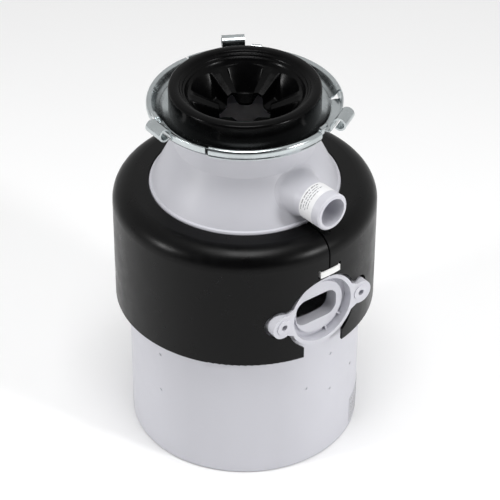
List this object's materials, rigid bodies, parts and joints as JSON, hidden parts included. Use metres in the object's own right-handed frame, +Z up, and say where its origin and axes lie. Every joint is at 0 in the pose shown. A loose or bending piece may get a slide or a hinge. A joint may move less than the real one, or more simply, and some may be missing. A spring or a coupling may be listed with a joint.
{
  "type": "kitchen garbage disposal",
  "caption": "Under-sink food waste disposer: grey can with bolted discharge flange, black outer wrap, dishwasher inlet, rubber splash baffle and a turning zinc mounting ring.",
  "frame": {"origin": "on the motor shaft's axis, in the plane of the can's lower rim", "axes": "+Z up along the motor shaft; the discharge flange faces -Y; +X completes the right-handed frame"},
  "size_m": [0.208, 0.209, 0.311],
  "materials": {
    "grey_moulding": "satin",
    "black_shell": "satin",
    "black_rubber": "gloss",
    "zinc_plate": "bright",
    "white_plastic": "gloss",
    "label_paper": "matte",
    "rating_plate": "satin",
    "grey_foam": "matte",
    "stainless": "brushed",
    "machined_steel": "machined",
    "galvanised_steel": "satin",
    "laminations": "matte",
    "copper_winding": "varnished",
    "cast_aluminium": "cast",
    "bronze": "machined",
    "seal_rubber": "matte",
    "phenolic": "matte",
    "red_plastic": "gloss",
    "green_screw": "satin",
    "nylon": "satin"
  },
  "bodies": {
    "housing": {"lower_housing": "grey_moulding", "base_plate": "galvanised_steel", "wiring_cover": "galvanised_steel", "wiring_cover_screw": "machined_steel", "ground_screw": "green_screw", "wiring_knockout_plug": "galvanised_steel", "overload_protector": "phenolic", "through_bolts": "machined_steel", "lower_bearing": "bronze", "upper_end_bell": "cast_aluminium", "upper_bearing": "bronze", "shaft_seal": "seal_rubber", "chamber_o_ring": "seal_rubber", "stator_core": "laminations", "stator_windings": "copper_winding", "start_switch": "phenolic", "shredder_ring": "stainless", "container_body": "grey_moulding", "container_screws": "machined_steel", "inlet_knockout_plug": "grey_moulding", "inlet_label": "label_paper", "rating_label": "rating_plate", "insulation_jacket": "grey_foam", "outer_shell": "black_shell", "shell_clip": "white_plastic", "mounting_gasket": "black_rubber"},
    "rotor": {"motor_shaft": "machined_steel", "rotor_core": "laminations", "rotor_end_rings": "cast_aluminium", "thrust_washer": "nylon", "slinger": "seal_rubber", "governor_base": "galvanised_steel", "turntable": "stainless", "turntable_nut": "machined_steel", "impeller_rivets": "machined_steel"},
    "impeller_1": {"impeller_1": "stainless"},
    "impeller_2": {"impeller_2": "stainless"},
    "governor_weight_1": {"governor_weight_1": "machined_steel"},
    "governor_weight_2": {"governor_weight_2": "machined_steel"},
    "switch_collar": {"switch_collar": "nylon"},
    "reset_button": {"reset_button": "red_plastic"},
    "mounting_ring": {"mounting_ring": "zinc_plate"}
  },
  "joints": [
    {"name": "rotor_spin", "type": "hinge", "parent": "housing", "child": "rotor", "pos_m": [0, 0, 0.1], "axis": [0, 0, 1], "continuous": true},
    {"name": "impeller_1_swing", "type": "hinge", "parent": "rotor", "child": "impeller_1", "pos_m": [0.052, 0, 0.177], "axis": [0, 0, 1], "continuous": true},
    {"name": "impeller_2_swing", "type": "hinge", "parent": "rotor", "child": "impeller_2", "pos_m": [-0.052, 0, 0.177], "axis": [0, 0, 1], "continuous": true},
    {"name": "collar_slide", "type": "slide", "parent": "rotor", "child": "switch_collar", "axis": [0, 0, 1], "range_m": [0, 0.003], "stiffness_N_per_m": 400, "springref_m": -0.002},
    {"name": "governor_weight_1_swing", "type": "hinge", "parent": "rotor", "child": "governor_weight_1", "pos_m": [0.019, 0, 0.0344], "axis": [0, -1, 0], "range_deg": [0, 22]},
    {"name": "governor_weight_2_swing", "type": "hinge", "parent": "rotor", "child": "governor_weight_2", "pos_m": [-0.019, 0, 0.0344], "axis": [0, 1, 0], "range_deg": [0, 22]},
    {"name": "reset_button_press", "type": "slide", "parent": "housing", "child": "reset_button", "axis": [0, 0, -1], "range_m": [0, 0.003]},
    {"name": "mounting_ring_turn", "type": "hinge", "parent": "housing", "child": "mounting_ring", "pos_m": [0, 0, 0.2895], "axis": [0, 0, 1], "continuous": true}
  ],
  "couplings": [
    {"joint": "governor_weight_1_swing", "follows": "collar_slide", "rad_per_m": 127.99},
    {"joint": "governor_weight_2_swing", "follows": "collar_slide", "rad_per_m": 127.99}
  ]
}
